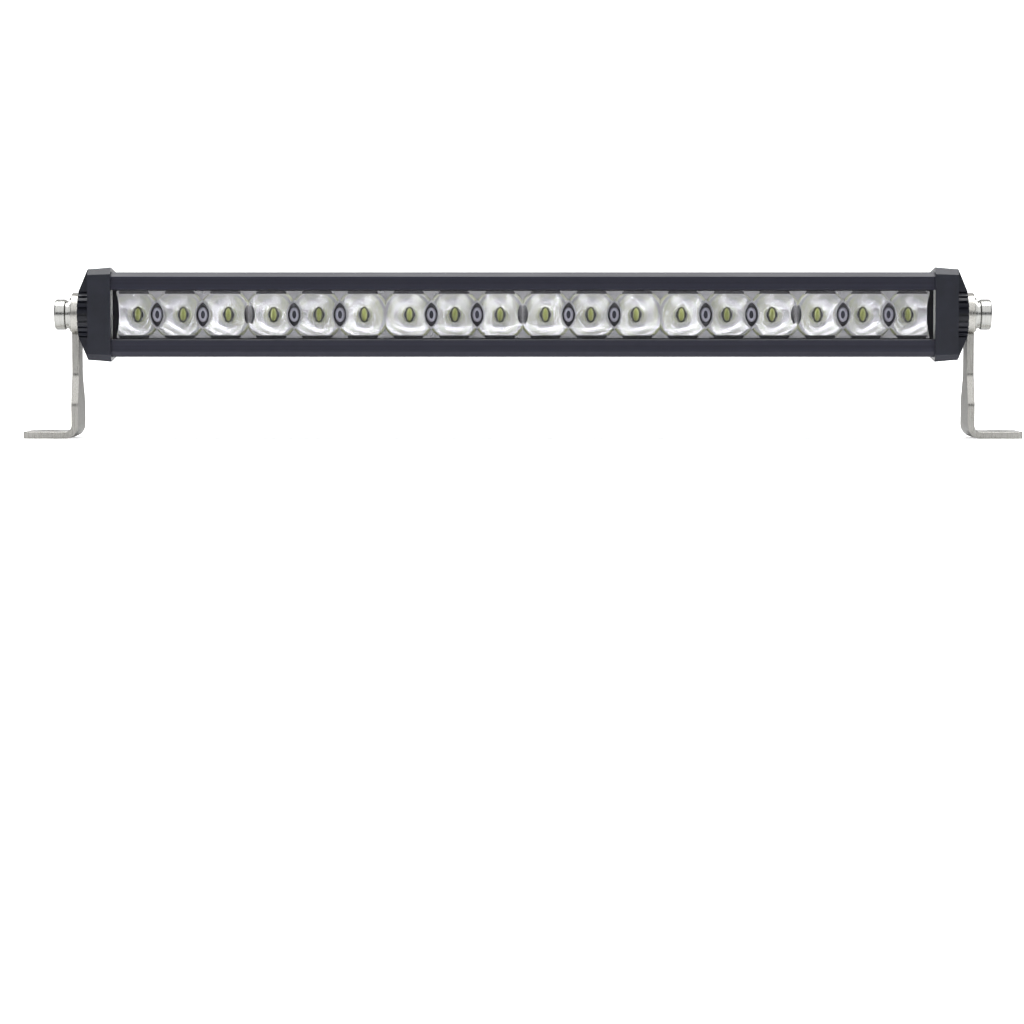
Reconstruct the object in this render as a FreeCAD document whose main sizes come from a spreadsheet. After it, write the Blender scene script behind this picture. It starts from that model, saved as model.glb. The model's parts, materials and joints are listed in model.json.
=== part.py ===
import FreeCAD, Part
import math
import os
import re
import Sketcher

# LED light bar on two swivel brackets, millimetres. +Z is up and the light leaves towards -Y.
# The origin lies on the mounting surface, midway between the slots of the two feet.
# Parts of the lamp are drawn about the pivot axis: x along the bar, y behind the axis, z above it.

DIMENSIONS = {
    "pivot_height": 71.0,
    "pivot_setback": -6.0,
    "lip_front": -30.0,
    # light engine
    "led_pitch": 26.0,
    "module_length": 156.0,
    "module_trim": 3.0,
    "module_gap": 0.1,
    "module_front": -21.4,
    "module_depth": 20.0,
    "module_height": 26.8,
    "cup_rim_radius": 15.4,
    "cup_base_radius": 3.2,
    "cup_wall_radius": 33.0,
    "cup_ledge": 11.7,
    "cup_ledge_drop": 1.6,
    "led_opening_width": 4.6,
    "led_opening_height": 9.0,
    "well_half_width": 4.5,
    "well_half_height": 8.4,
    "well_rim": 0.8,
    "well_point_rim": 1.3,
    "well_depth": 3.4,
    "well_top_drop": 0.6,
    "gate_half_width": 3.1,
    "gate_half_height": 7.2,
    "gate_depth": 14.0,
    "board_thickness": 1.5,
    "pad_thickness": 0.5,
    "led_width": 4.0,
    "led_height": 8.2,
    "led_base_thickness": 0.8,
    "led_dome_width": 3.2,
    "led_dome_height": 7.2,
    "led_dome_thickness": 1.5,
    "fastener_head_width": 5.6,
    "fastener_head_height": 8.2,
    "fastener_head_thickness": 1.8,
    "fastener_slot_width": 2.5,
    "fastener_slot_height": 4.8,
    "fastener_slot_depth": 1.1,
    "fastener_shank_radius": 1.5,
    "fastener_clearance": 0.1,
    "fastener_tip_gap": 1.0,
    "fastener_hole_floor": 0.8,
    # housing extrusion
    "housing_length": 474.0,
    "housing_half_height": 24.0,
    "housing_corner": 3.0,
    "housing_bevel": 2.8,
    "housing_edge_round": 0.9,
    "housing_crest_round": 12.0,
    "housing_waist": -16.0,
    "housing_rear": 24.5,
    "housing_rear_half": 19.8,
    "window_half": 13.9,
    "window_bevel": 0.7,
    "lip_thickness": 3.0,
    "lens_pocket_half": 17.5,
    "lens_seat": -22.4,
    "engine_half": 14.0,
    "web_front": 0.6,
    "web_back": 4.2,
    "chamber_back": 12.5,
    "chamber_half": 15.0,
    "fin_groove_width": 3.4,
    "fin_groove_floor": 15.5,
    "fin_pitch": 6.0,
    "side_groove_first": -13.0,
    "side_groove_width": 2.4,
    "side_groove_depth": 4.5,
    "side_groove_pitch": 5.5,
    "screw_channel_radius": 1.7,
    "screw_front_y": -19.0,
    "screw_front_z": 20.2,
    "screw_rear_y": 9.5,
    "screw_rear_z": 17.8,
    "port_offset": 196.0,
    "port_pad": 30.0,
    "gland_hole_radius": 6.0,
    "vent_hole_radius": 4.0,
    # lens
    "lens_length": 473.6,
    "lens_half": 17.2,
    "lens_thickness": 3.0,
    "lens_bevel": 0.4,
    "lens_gasket_bar": 2.6,
    "lens_gasket_end": 3.8,
    # end caps
    "cap_skirt_start": 233.2,
    "cap_shoulder": 246.4,
    "cap_end": 254.5,
    "cap_draft": 4.5,
    "cap_end_slope": 0.079,
    "cap_front": -31.5,
    "cap_rear": 26.5,
    "cap_half_height": 26.8,
    "cap_rear_half": 21.6,
    "cap_chamfer": 4.0,
    "cap_edge_round": 1.0,
    "cap_sleeve_gap": 0.15,
    "cap_gasket_thickness": 1.2,
    "cap_cavity_depth": 4.0,
    "cap_cavity_half": 12.5,
    "boss_radius": 14.2,
    "spine_start": 249.0,
    "spine_half_depth": 8.0,
    "spine_end_half": 12.6,
    "notch_width": 1.7,
    "notch_depth": 1.1,
    "notch_start": 248.8,
    "insert_radius": 7.2,
    "insert_length": 11.0,
    "cap_screw_head_radius": 3.4,
    "cap_screw_head_thickness": 2.2,
    "cap_screw_radius": 1.6,
    "cap_screw_length": 18.0,
    # pivot bolt and washers
    "bolt_radius": 5.0,
    "bolt_clearance": 0.08,
    "bolt_head_radius": 8.75,
    "bolt_head_thickness": 6.4,
    "bolt_head_chamfer": 0.7,
    "bolt_socket_width": 8.0,
    "bolt_socket_depth": 3.6,
    "bolt_tip": 245.2,
    "flat_washer_radius": 9.8,
    "flat_washer_thickness": 1.2,
    "spring_washer_radius": 7.9,
    "spring_washer_thickness": 2.0,
    "spring_washer_gap": 1.6,
    # brackets
    "axial_play": 0.15,
    "plate_thickness": 4.0,
    "bracket_inner": 254.6,
    "bracket_head_radius": 12.4,
    "bracket_half_width": 17.0,
    "bracket_neck_front": -11.0,
    "bracket_neck_rear": 6.4,
    "shoulder_low": 20.0,
    "shoulder_high": 36.0,
    "shoulder_radius": 8.0,
    "shoulder_overlap": 6.0,
    "foot_tip": 286.4,
    "bend_inner_radius": 3.5,
    "foot_corner_radius": 3.2,
    "foot_slot_offset": 274.0,
    "foot_slot_radius": 4.25,
    "foot_slot_length": 13.0,
    "plate_edge_round": 0.5,
    # rear fittings
    "gland_bore_reach": 20.0,
    "gland_hex_radius": 9.2,
    "gland_hex_thickness": 4.0,
    "gland_oring_thickness": 1.0,
    "gland_neck_radius": 6.6,
    "gland_neck_length": 6.5,
    "gland_bore_radius": 4.2,
    "gland_nut_length": 9.5,
    "gland_nut_wall_gap": 0.1,
    "gland_mouth_radius": 4.0,
    "gland_seal_radius": 6.4,
    "gland_seal_inset": 1.0,
    "gland_dome_drop": 4.0,
    "oring_width": 2.0,
    "cable_radius": 3.25,
    "locknut_thickness": 2.6,
    "vent_cap_radius": 7.0,
    "vent_cap_thickness": 3.6,
    "vent_ring_thickness": 1.0,
    "vent_bore_radius": 2.0,
    # driver
    "driver_centre": 20.0,
    "driver_length": 120.0,
    "driver_half_height": 13.0,
    "driver_board_thickness": 1.6,
    "inductor_radius": 2.8,
    "capacitor_radius": 2.4,
    "component_height": 4.8,
    "driver_chip_side": 6.0,
    "driver_chip_height": 1.6,
    # cuts past a face, and the flat left between two round ends
    "overcut": 1.0,
    "arc_slack": 0.01,
}

LED_COUNT_PER_MODULE = 6
MODULES = {1: -1, 2: 0, 3: 1}
FASTENED_JOINTS = (-2, -1, 1, 2)
NOTCH_COUNT = 24
FIN_GROOVES = 6
SIDE_GROOVES = 4
HEX = 6
INDUCTOR_PLACES = (-0.36, 0.36)  # shares of the driver's length from its middle
CAPACITOR_PLACES = (-0.2, -0.12, 0.2)
CHIP_PLACES = (-0.16, 0.02, 0.16)
SAME_PLACE = 0.001  # mm between positions that count as equal
CLEARLY_BEYOND = 0.01  # mm past a face that counts as beyond it
FLAT_TO_CORNER = 2 / math.sqrt(3)
BEVEL_GROWTH = 2 - math.sqrt(2)  # growth of a 45 degree bevel's legs when its outline grows by one

document = FreeCAD.newDocument("light_bar")
sheet = document.addObject("Spreadsheet::Sheet", "dims")
subparts = []


def fill_sheet():
    """Writes one row per dimension: its name, its value and the alias of the value."""
    for row, (alias, value) in enumerate(DIMENSIONS.items(), start=1):
        sheet.set(f"A{row}", alias)
        sheet.set(f"B{row}", str(value))
        sheet.setAlias(f"B{row}", alias)
    document.recompute()


def bound(text):
    """An expression on the sheet: every word in it is an alias."""
    return re.sub(r"[a-z]\w+", lambda word: "dims." + word.group(), str(text))


def value(text):
    return float(sheet.evalExpression(bound(text)))


# --- sketches ---------------------------------------------------------------------------------


def new_body(label, on_pivot=True):
    """A body that is one sub-part. Lamp parts are placed with the pivot axis as their X axis."""
    body = document.addObject("PartDesign::Body", label)
    body.Label = label
    if on_pivot:
        put_on_pivot(body)
    subparts.append(body)
    return body


def put_on_pivot(part, shift_x="0"):
    part.setExpression("Placement.Base.x", bound(shift_x))
    part.setExpression("Placement.Base.y", bound("pivot_setback"))
    part.setExpression("Placement.Base.z", bound("pivot_height"))


def origin_feature(body, role):
    return next(item for item in body.Origin.OriginFeatures if item.Role == role)


def new_sketch(body, plane, name, offset="0", shift_x="0"):
    """A sketch on a plane of the body's origin, moved along the plane's normal and its own x axis."""
    sketch = body.newObject("Sketcher::SketchObject", f"{body.Name}_{name}")
    sketch.AttachmentSupport = [(origin_feature(body, plane), "")]
    sketch.MapMode = "FlatFace"
    sketch.setExpression("AttachmentOffset.Base.z", bound(offset))
    sketch.setExpression("AttachmentOffset.Base.x", bound(shift_x))
    return sketch


def fix_point(sketch, geometry, end, x, y):
    """Ties one point of a sketch to distances from the sketch's origin."""
    for kind, text in (("DistanceX", x), ("DistanceY", y)):
        index = sketch.addConstraint(Sketcher.Constraint(kind, -1, 1, geometry, end, value(text)))
        sketch.setExpression(f"Constraints[{index}]", bound(text))


def fix_size(sketch, kind, geometry, text):
    index = sketch.addConstraint(Sketcher.Constraint(kind, geometry, value(text)))
    sketch.setExpression(f"Constraints[{index}]", bound(text))


def corner_arc(before, corner, after, radius):
    """Start, middle and end of the arc that rounds a corner between two straight sides."""
    to_before = (before - corner).normalize()
    to_after = (after - corner).normalize()
    half_angle = to_before.getAngle(to_after) / 2
    reach = radius / math.tan(half_angle)
    bisector = (to_before + to_after).normalize()
    middle = corner + bisector * (radius / math.sin(half_angle) - radius)
    return corner + to_before * reach, middle, corner + to_after * reach


def draw_outline(sketch, corners):
    """A closed outline through corners of (x, y) or (x, y, radius), all of them expressions."""
    places = [FreeCAD.Vector(value(corner[0]), value(corner[1]), 0) for corner in corners]
    spans = []
    for index, corner in enumerate(corners):
        place = places[index]
        if len(corner) == 3:
            after = places[(index + 1) % len(places)]
            spans.append(corner_arc(places[index - 1], place, after, value(corner[2])))
        else:
            spans.append((place, None, place))
    lines = []
    for index, span in enumerate(spans):
        following = spans[(index + 1) % len(spans)]
        lines.append(sketch.addGeometry(Part.LineSegment(span[2], following[0]), False))
    for index, corner in enumerate(corners):
        arriving, leaving = lines[index - 1], lines[index]
        if len(corner) == 2:
            sketch.addConstraint(Sketcher.Constraint("Coincident", arriving, 2, leaving, 1))
            fix_point(sketch, leaving, 1, corner[0], corner[1])
        else:
            round_corner(sketch, arriving, leaving, spans[index], corner)


def round_corner(sketch, arriving, leaving, span, corner):
    """Adds the tangent arc of one corner and ties the sharp corner to its place."""
    start, middle, end = span
    arc = sketch.addGeometry(Part.Arc(start, middle, end), False)
    starts_first = (sketch.getPoint(arc, 1) - start).Length < (sketch.getPoint(arc, 2) - start).Length
    first, last = (1, 2) if starts_first else (2, 1)
    sketch.addConstraint(Sketcher.Constraint("Tangent", arriving, 2, arc, first))
    sketch.addConstraint(Sketcher.Constraint("Tangent", arc, last, leaving, 1))
    fix_size(sketch, "Radius", arc, corner[2])
    sharp = FreeCAD.Vector(value(corner[0]), value(corner[1]), 0)
    point = sketch.addGeometry(Part.Point(sharp), True)
    sketch.addConstraint(Sketcher.Constraint("PointOnObject", point, 1, arriving))
    sketch.addConstraint(Sketcher.Constraint("PointOnObject", point, 1, leaving))
    fix_point(sketch, point, 1, corner[0], corner[1])


def draw_box(sketch, low_x, low_y, high_x, high_y):
    draw_outline(sketch, [(low_x, low_y), (high_x, low_y), (high_x, high_y), (low_x, high_y)])


def draw_circle(sketch, x, y, radius):
    centre = FreeCAD.Vector(value(x), value(y), 0)
    circle = sketch.addGeometry(Part.Circle(centre, FreeCAD.Vector(0, 0, 1), value(radius)), False)
    fix_point(sketch, circle, 3, x, y)
    fix_size(sketch, "Radius", circle, radius)


def draw_oval(sketch, x, width, height):
    """An upright ellipse about (x, 0), held by its centre, its top and its width."""
    centre = FreeCAD.Vector(value(x), 0, 0)
    top = centre + FreeCAD.Vector(0, value(height) / 2, 0)
    side = centre + FreeCAD.Vector(value(width) / 2, 0, 0)
    oval = sketch.addGeometry(Part.Ellipse(top, side, centre), False)
    sketch.exposeInternalGeometry(oval)
    major, minor = oval + 1, oval + 2
    fix_point(sketch, oval, 3, x, "0")
    fix_point(sketch, major, nearer_end(sketch, major, top), x, f"{height} / 2")
    end = nearer_end(sketch, minor, side)
    edge = f"({x}) + {width} / 2"
    index = sketch.addConstraint(Sketcher.Constraint("DistanceX", -1, 1, minor, end, value(edge)))
    sketch.setExpression(f"Constraints[{index}]", bound(edge))


def nearer_end(sketch, line, place):
    gap = (sketch.getPoint(line, 1) - place).Length
    return 1 if gap < (sketch.getPoint(line, 2) - place).Length else 2


def draw_upright_slot(sketch, x, width, height):
    """An obround about (x, 0) that stands on end."""
    round_end = f"{width} / 2 - arc_slack"
    low_x, high_x = f"({x}) - {width} / 2", f"({x}) + {width} / 2"
    corners = [(low_x, f"-{height} / 2", round_end), (high_x, f"-{height} / 2", round_end)]
    corners += [(high_x, f"{height} / 2", round_end), (low_x, f"{height} / 2", round_end)]
    draw_outline(sketch, corners)


def draw_eye(sketch, x, half_width, half_height):
    """Two arcs that meet in points above and below (x, 0)."""
    top = FreeCAD.Vector(value(x), value(half_height), 0)
    low = FreeCAD.Vector(value(x), -value(half_height), 0)
    sides = []
    for sign in (1, -1):
        middle = FreeCAD.Vector(value(x) + sign * value(half_width), 0, 0)
        arc = sketch.addGeometry(Part.Arc(low, middle, top), False)
        starts_low = (sketch.getPoint(arc, 1) - low).Length < (sketch.getPoint(arc, 1) - top).Length
        sides.append((arc, 1, 2) if starts_low else (arc, 2, 1))
    (right, right_low, right_top), (left, left_low, left_top) = sides
    sketch.addConstraint(Sketcher.Constraint("Coincident", right, right_low, left, left_low))
    sketch.addConstraint(Sketcher.Constraint("Coincident", right, right_top, left, left_top))
    fix_point(sketch, right, right_low, x, f"-({half_height})")
    fix_point(sketch, right, right_top, x, half_height)
    radius = f"(({half_width}) ^ 2 + ({half_height}) ^ 2) / (2 * ({half_width}))"
    fix_size(sketch, "Radius", right, radius)
    fix_size(sketch, "Radius", left, radius)


# --- features ---------------------------------------------------------------------------------


def feature(body, kind, profile, length=None, back=False, both=False, through=False):
    """Adds a pad or pocket. back turns its direction round; both centres it on the sketch."""
    item = body.newObject(f"PartDesign::{kind}", f"{profile.Name}_{kind}")
    item.Profile = profile
    item.Reversed = back
    item.Midplane = both
    if through:
        item.Type = "ThroughAll"
    else:
        item.setExpression("Length", bound(length))
    before = body.Tip.Shape.Volume if body.Tip and body.Tip != item else 0
    document.recompute()
    after = item.Shape.Volume
    if (kind == "Pocket" and after >= before > 0) or (kind == "Pad" and after <= before):
        raise RuntimeError(f"{item.Name} changes nothing")
    return item


def pad(body, profile, length, back=False, both=False):
    return feature(body, "Pad", profile, length, back, both)


def pocket(body, profile, length=None, back=False, both=False, through=False):
    return feature(body, "Pocket", profile, length, back, both, through)


def repeat(body, item, axis, spacing, count):
    """A row of copies of a feature, a fixed spacing apart along an axis of the body."""
    row = body.newObject("PartDesign::LinearPattern", f"{item.Name}_row")
    row.Originals = [item]
    row.Direction = (origin_feature(body, axis), [""])
    row.setExpression("Length", bound(f"{spacing} * {count - 1}"))
    row.Occurrences = count
    body.Tip = row
    document.recompute()
    return row


def edges_where(shape, test):
    return [f"Edge{i}" for i, edge in enumerate(shape.Edges, start=1) if test(edge)]


def dress(body, kind, size, test):
    """Rounds or bevels the edges of the body's last feature that pass the test."""
    base = body.Tip
    edges = edges_where(base.Shape, test)
    if not edges:
        raise RuntimeError(f"{body.Label}: no edge to dress")
    item = body.newObject(f"PartDesign::{kind}", f"{base.Name}_{kind}")
    item.Base = (base, edges)
    item.setExpression("Radius" if kind == "Fillet" else "Size", bound(size))
    document.recompute()
    return item


def revolve(body, kind, profile, axis):
    item = body.newObject(f"PartDesign::{kind}", f"{profile.Name}_{kind}")
    item.Profile = profile
    item.ReferenceAxis = axis
    item.Angle = 360
    document.recompute()
    return item


def mirrored(source, label):
    """The same part on the left end of the bar."""
    copy = document.addObject("Part::Mirroring", label)
    copy.Label = label
    copy.Source = source
    copy.Normal = FreeCAD.Vector(1, 0, 0)
    copy.Base = FreeCAD.Vector(0, 0, 0)
    subparts.append(copy)
    document.recompute()
    return copy


def box(name, low, size):
    """A Part::Box from expressions of its lowest corner and its size."""
    part = document.addObject("Part::Box", name)
    for axis, text in zip("xyz", low):
        part.setExpression(f"Placement.Base.{axis}", bound(text))
    for side, text in zip(("Length", "Width", "Height"), size):
        part.setExpression(side, bound(text))
    return part


def lying(part, x, y, z):
    """Turns a primitive so that its axis points along +Y and puts its base at a place."""
    part.Placement = FreeCAD.Placement(FreeCAD.Vector(), FreeCAD.Rotation(FreeCAD.Vector(1, 0, 0), -90))
    for axis, text in zip("xyz", (x, y, z)):
        part.setExpression(f"Placement.Base.{axis}", bound(text))
    return part


def rod(name, radius, length, x, y, z="pivot_height"):
    """A cylinder along Y. y is measured from the pivot axis."""
    part = document.addObject("Part::Cylinder", name)
    part.setExpression("Radius", bound(radius))
    part.setExpression("Height", bound(length))
    return lying(part, x, f"pivot_setback + {y}", z)


def hexagon(name, radius, length, x, y):
    part = document.addObject("Part::Prism", name)
    part.Polygon = HEX
    part.setExpression("Circumradius", bound(radius))
    part.setExpression("Height", bound(length))
    return lying(part, x, f"pivot_setback + {y}", "pivot_height")


def combine(kind, label, parts):
    """A sub-part made from primitives: Cut takes two, MultiFuse joins them, Compound groups them."""
    result = document.addObject(f"Part::{kind}", label)
    result.Label = label
    if kind == "Cut":
        result.Base, result.Tool = parts
    elif kind == "Compound":
        result.Links = parts
    else:
        result.Shapes = parts
    document.recompute()
    return result


# --- housing and lens -------------------------------------------------------------------------


def rear_half(y):
    """Half height of the housing's sloping top at a place behind the waist."""
    slope = "(housing_half_height - housing_rear_half) / (housing_rear - housing_waist)"
    return f"housing_half_height - ({y} - housing_waist) * {slope}"


def housing_outline(grow="0"):
    """Outer section of the extrusion as corners of (y, z)."""
    front, rear = f"lip_front - {grow}", f"housing_rear + {grow}"
    top, low = f"housing_half_height + {grow}", f"housing_rear_half + {grow}"
    corner = f"housing_corner + {grow}"
    bevel = f"housing_bevel + {grow} * {BEVEL_GROWTH:.4f}"
    crest, edge = "housing_crest_round", "housing_edge_round"
    return [
        (front, f"-({top} - ({bevel}))", edge),
        (front, f"{top} - ({bevel})", edge),
        (f"{front} + {bevel}", top, edge),
        ("housing_waist", top, crest),
        (rear, low, corner),
        (rear, f"-({low})", corner),
        ("housing_waist", f"-({top})", crest),
        (f"{front} + {bevel}", f"-({top})", edge),
    ]


def cut_front_cavity(body):
    """The window, the lens chamber behind the lips and the space of the light engine."""
    sketch = new_sketch(body, "YZ_Plane", "cavity")
    upper = [
        ("lip_front - overcut", "window_half + window_bevel + overcut"),
        ("lip_front + window_bevel", "window_half"),
        ("lip_front + lip_thickness", "window_half"),
        ("lip_front + lip_thickness", "lens_pocket_half"),
        ("lens_seat", "lens_pocket_half"),
        ("lens_seat", "engine_half"),
        ("web_front", "engine_half"),
    ]
    lower = [(y, f"-({z})") for y, z in reversed(upper)]
    draw_outline(sketch, upper + lower)
    pocket(body, sketch, "housing_length + overcut * 2", both=True)


def cut_rear_chamber(body):
    sketch = new_sketch(body, "YZ_Plane", "chamber")
    draw_box(sketch, "web_back", "-chamber_half", "chamber_back", "chamber_half")
    pocket(body, sketch, "housing_length + overcut * 2", both=True)


def cut_fin_grooves(body):
    """Lengthwise grooves that leave the heat-sink fins on the back."""
    sketch = new_sketch(body, "YZ_Plane", "fins")
    low = f"-fin_pitch * {(FIN_GROOVES - 1) / 2} - fin_groove_width / 2"
    high = f"-fin_pitch * {(FIN_GROOVES - 1) / 2} + fin_groove_width / 2"
    draw_box(sketch, "fin_groove_floor", low, "housing_rear + overcut", high)
    groove = pocket(body, sketch, "housing_length + overcut * 2", both=True)
    repeat(body, groove, "Z_Axis", "fin_pitch", FIN_GROOVES)


def cut_side_grooves(body):
    """Cooling grooves along the top and the underside."""
    for side, sign in (("top", "1"), ("low", "-1")):
        for number in range(SIDE_GROOVES):
            sketch = new_sketch(body, "YZ_Plane", f"{side}_groove_{number}")
            middle = f"(side_groove_first + side_groove_pitch * {number})"
            floor = f"{sign} * ({rear_half(middle)} - side_groove_depth)"
            outside = f"{sign} * (housing_half_height + overcut)"
            half = "side_groove_width / 2"
            low, high = sorted((floor, outside), key=value)
            draw_box(sketch, f"{middle} - {half}", low, f"{middle} + {half}", high)
            pocket(body, sketch, "housing_length + overcut * 2", both=True)


def cut_screw_channels(body):
    sketch = new_sketch(body, "YZ_Plane", "channels")
    for y, z in cap_screw_places():
        draw_circle(sketch, y, z, "screw_channel_radius")
    pocket(body, sketch, "housing_length + overcut * 2", both=True)


def cap_screw_places():
    front = [("screw_front_y", f"{sign} * screw_front_z") for sign in (1, -1)]
    rear = [("screw_rear_y", f"{sign} * screw_rear_z") for sign in (1, -1)]
    return front + rear


def cut_ports(body):
    """Flat pads milled into the fins, with the holes of the gland and the vent."""
    pads = new_sketch(body, "XZ_Plane", "pads", "-fin_groove_floor")
    holes = new_sketch(body, "XZ_Plane", "ports", "-chamber_back")
    for sign, radius in ((-1, "gland_hole_radius"), (1, "vent_hole_radius")):
        middle = f"{sign} * port_offset"
        half = "port_pad / 2"
        draw_box(pads, f"{middle} - {half}", "-chamber_half", f"{middle} + {half}", "chamber_half")
        draw_circle(holes, middle, "0", radius)
    pocket(body, pads, "housing_rear - fin_groove_floor + overcut", back=False)
    pocket(body, holes, "fin_groove_floor - chamber_back + overcut", back=False)


def cut_fastener_holes(body):
    sketch = new_sketch(body, "XZ_Plane", "fastener_holes", "-web_front")
    for x in fastener_places():
        draw_circle(sketch, x, "0", "fastener_shank_radius + fastener_clearance")
    pocket(body, sketch, "web_back - web_front - fastener_hole_floor", back=False)


def fastener_places():
    """Twelve places along the bar: four joints between cups in each module."""
    joints = [(module, joint) for module in MODULES.values() for joint in FASTENED_JOINTS]
    return [f"{module} * module_length + {joint} * led_pitch" for module, joint in joints]


def make_housing():
    body = new_body("housing")
    section = new_sketch(body, "YZ_Plane", "section")
    draw_outline(section, housing_outline())
    pad(body, section, "housing_length", both=True)
    cut_front_cavity(body)
    cut_rear_chamber(body)
    cut_fin_grooves(body)
    cut_side_grooves(body)
    cut_screw_channels(body)
    cut_fastener_holes(body)
    cut_ports(body)


def make_lens():
    body = new_body("lens")
    section = new_sketch(body, "YZ_Plane", "section")
    front = "lip_front + lip_thickness"
    back = f"{front} + lens_thickness"
    corners = [(front, "-lens_half", "lens_bevel"), (front, "lens_half", "lens_bevel")]
    corners += [(back, "lens_half", "lens_bevel"), (back, "-lens_half", "lens_bevel")]
    draw_outline(section, corners)
    pad(body, section, "lens_length", both=True)


def make_lens_gasket():
    """A rubber frame between the lens and the housing's seat."""
    body = new_body("lens_gasket")
    front = "lip_front + lip_thickness + lens_thickness"
    sketch = new_sketch(body, "XZ_Plane", "frame", f"-({front})")
    half_length, half = "lens_length / 2", "lens_half"
    draw_box(sketch, f"-{half_length}", f"-{half}", half_length, half)
    inner_x = f"{half_length} - lens_gasket_end"
    inner_z = f"{half} - lens_gasket_bar"
    draw_box(sketch, f"-({inner_x})", f"-({inner_z})", inner_x, inner_z)
    pad(body, sketch, f"lens_seat - ({front})", back=True)


# --- light engine -----------------------------------------------------------------------------


def module_ends(module):
    """Lowest and highest x of a module about its own middle; the outer ends are trimmed."""
    half = "module_length / 2 - module_gap"
    low = f"-({half} - module_trim)" if module < 0 else f"-({half})"
    high = f"{half} - module_trim" if module > 0 else half
    return low, high


def first_cup():
    return f"-led_pitch * {(LED_COUNT_PER_MODULE - 1) / 2}"


def cut_cups(body):
    """Six bowls of revolution, a pitch apart, each with an opening for its LED."""
    bowl = new_sketch(body, "XY_Plane", "bowl", "0", first_cup())
    rim, base = "module_front", "module_front + module_depth"
    low = FreeCAD.Vector(value("cup_base_radius"), value(base), 0)
    high = FreeCAD.Vector(value("cup_rim_radius"), value(rim), 0)
    axis_top = FreeCAD.Vector(0, value(rim), 0)
    axis_low = FreeCAD.Vector(0, value(base), 0)
    wall_arc = bowl.addGeometry(Part.Arc(low, bowl_middle(low, high), high), False)
    flipped = (bowl.getPoint(wall_arc, 1) - low).Length > (bowl.getPoint(wall_arc, 2) - low).Length
    wall_low, wall_high = (2, 1) if flipped else (1, 2)
    top = bowl.addGeometry(Part.LineSegment(high, axis_top), False)
    side = bowl.addGeometry(Part.LineSegment(axis_top, axis_low), False)
    floor = bowl.addGeometry(Part.LineSegment(axis_low, low), False)
    bowl.addConstraint(Sketcher.Constraint("Coincident", wall_arc, wall_high, top, 1))
    bowl.addConstraint(Sketcher.Constraint("Coincident", top, 2, side, 1))
    bowl.addConstraint(Sketcher.Constraint("Coincident", side, 2, floor, 1))
    bowl.addConstraint(Sketcher.Constraint("Coincident", floor, 2, wall_arc, wall_low))
    fix_point(bowl, top, 1, "cup_rim_radius", rim)
    fix_point(bowl, side, 1, "0", rim)
    fix_point(bowl, side, 2, "0", base)
    fix_point(bowl, floor, 2, "cup_base_radius", base)
    fix_size(bowl, "Radius", wall_arc, "cup_wall_radius")
    groove = revolve(body, "Groove", bowl, (bowl, ["V_Axis"]))
    repeat(body, groove, "X_Axis", "led_pitch", LED_COUNT_PER_MODULE)


def bowl_middle(low, high):
    """The point halfway along the bowl's wall, which bulges outwards."""
    chord = high - low
    half = chord.Length / 2
    radius = value("cup_wall_radius")
    sagitta = radius - math.sqrt(radius**2 - half**2)
    outward = FreeCAD.Vector(-chord.y, chord.x, 0).normalize()
    if outward.x < 0:
        outward = outward * -1
    return (low + high) * 0.5 + outward * sagitta


def make_reflector(number, module):
    """A moulded strip of six bowls, with posts between them for the fasteners."""
    body = new_body(f"reflector_module_{number}")
    put_on_pivot(body, f"{module} * module_length")
    low, high = module_ends(module)
    block = new_sketch(body, "XZ_Plane", "block", "-module_front")
    draw_box(block, low, "-module_height / 2", high, "module_height / 2")
    pad(body, block, "module_depth", back=True)
    cut_cups(body)
    ledges = new_sketch(body, "XZ_Plane", "ledges", "-(module_front + cup_ledge_drop)")
    draw_box(ledges, low, "cup_ledge", high, "module_height / 2")
    draw_box(ledges, low, "-module_height / 2", high, "-cup_ledge")
    pad(body, ledges, "module_depth - cup_ledge_drop", back=True)
    posts = new_sketch(body, "XZ_Plane", "posts", "-(module_front + well_top_drop)")
    wells = new_sketch(body, "XZ_Plane", "wells", "-(module_front + well_top_drop)")
    holes = new_sketch(body, "XZ_Plane", "holes", "-module_front")
    for joint in FASTENED_JOINTS:
        x = f"{joint} * led_pitch"
        draw_eye(posts, x, "well_half_width", "well_half_height")
        draw_eye(wells, x, "well_half_width - well_rim", "well_half_height - well_point_rim")
        draw_circle(holes, x, "0", "fastener_shank_radius + fastener_clearance")
    pad(body, posts, "module_depth - well_top_drop", back=True)
    pocket(body, wells, "well_depth", back=False)
    pocket(body, holes, "module_depth", back=False)
    gate = new_sketch(body, "XZ_Plane", "gate", "-module_front")
    draw_eye(gate, "0", "gate_half_width", "gate_half_height")
    pocket(body, gate, "gate_depth", back=False)
    opening = new_sketch(body, "XZ_Plane", "opening", "-module_front", first_cup())
    draw_upright_slot(opening, "0", "led_opening_width", "led_opening_height")
    cut = pocket(body, opening, "module_depth", back=False)
    repeat(body, cut, "X_Axis", "led_pitch", LED_COUNT_PER_MODULE)


def make_strip(label, module, front, thickness):
    """A flat board or pad behind one reflector, drilled for its fasteners."""
    body = new_body(label)
    put_on_pivot(body, f"{module} * module_length")
    low, high = module_ends(module)
    sketch = new_sketch(body, "XZ_Plane", "plate", f"-({front})")
    draw_box(sketch, low, "-module_height / 2", high, "module_height / 2")
    for joint in FASTENED_JOINTS:
        draw_circle(sketch, f"{joint} * led_pitch", "0", "fastener_shank_radius + fastener_clearance")
    pad(body, sketch, thickness, back=True)


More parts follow.
